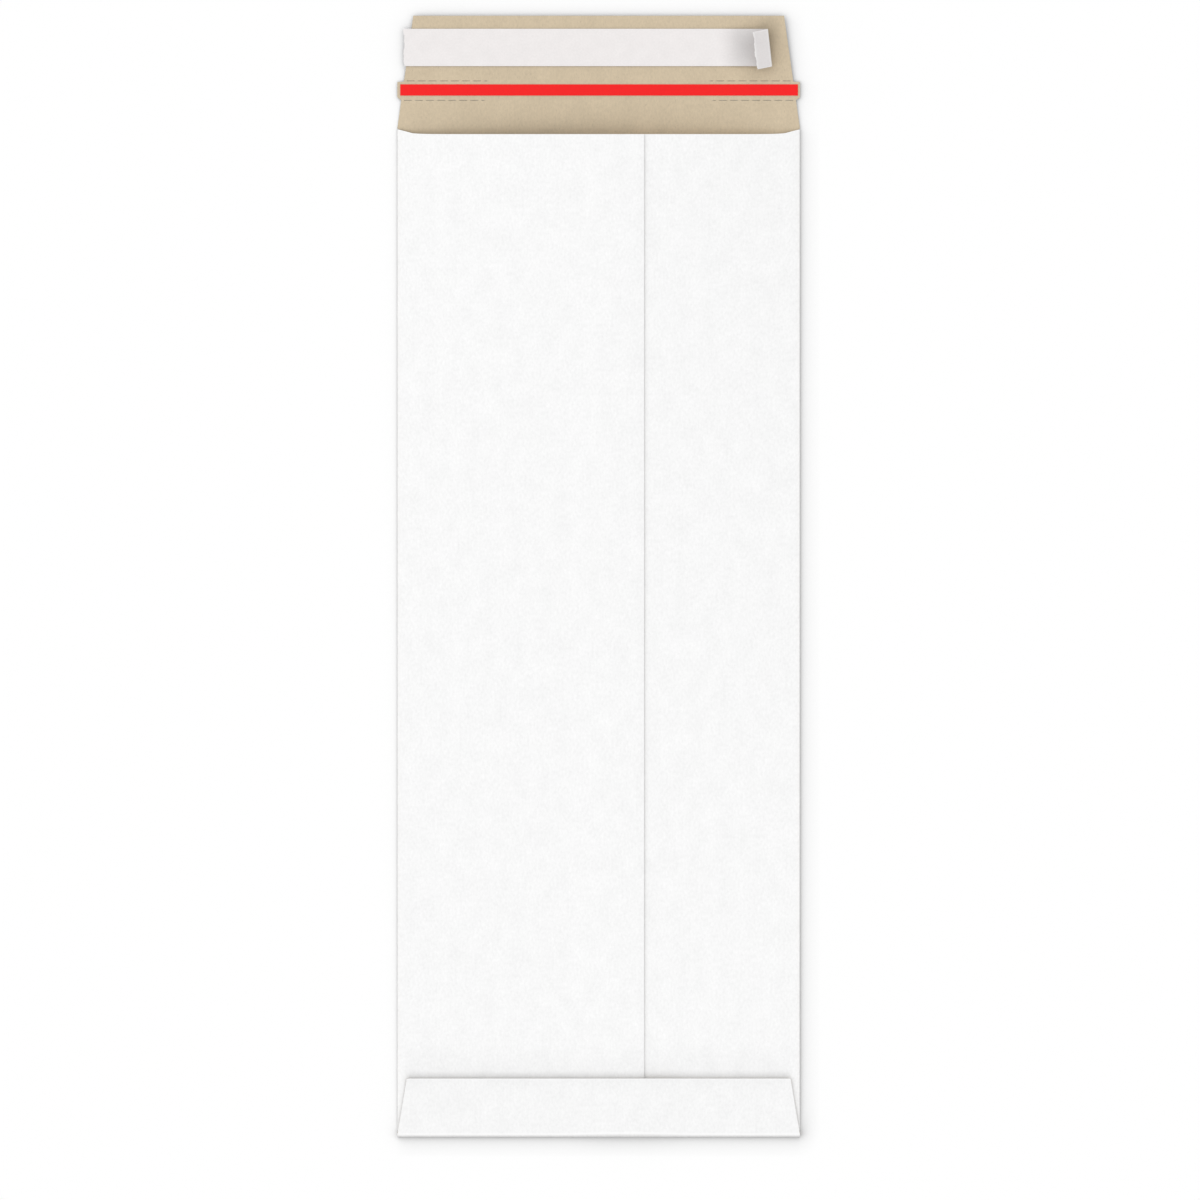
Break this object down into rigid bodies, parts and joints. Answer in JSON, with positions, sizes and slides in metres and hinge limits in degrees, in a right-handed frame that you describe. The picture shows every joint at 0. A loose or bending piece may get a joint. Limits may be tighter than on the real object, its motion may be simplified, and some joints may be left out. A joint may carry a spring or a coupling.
{
  "type": "cardboard envelope",
  "caption": "Tall board envelope with a glued seam and bottom flap, its closing flap open with tear tape, perforation and a peelable adhesive strip.",
  "frame": {"origin": "the middle of the address side, which lies on the surface", "axes": "+Y towards the closing flap, +Z out of the seam side, +X to the right as seen from above"},
  "size_m": [0.18, 0.5013, 0.0104],
  "materials": {
    "board": "uncoated white outside, brown kraft inside",
    "tear_tape": "red film",
    "adhesive": "clear pressure-sensitive adhesive",
    "release_paper": "siliconed white paper",
    "glue": "dried glue"
  },
  "bodies": {
    "root": {"board_blank": "board", "tear_tape": "tear_tape", "adhesive_strip": "adhesive", "release_liner": "release_paper", "seam_glue": "glue", "bottom_glue": "glue"}
  },
  "joints": []
}
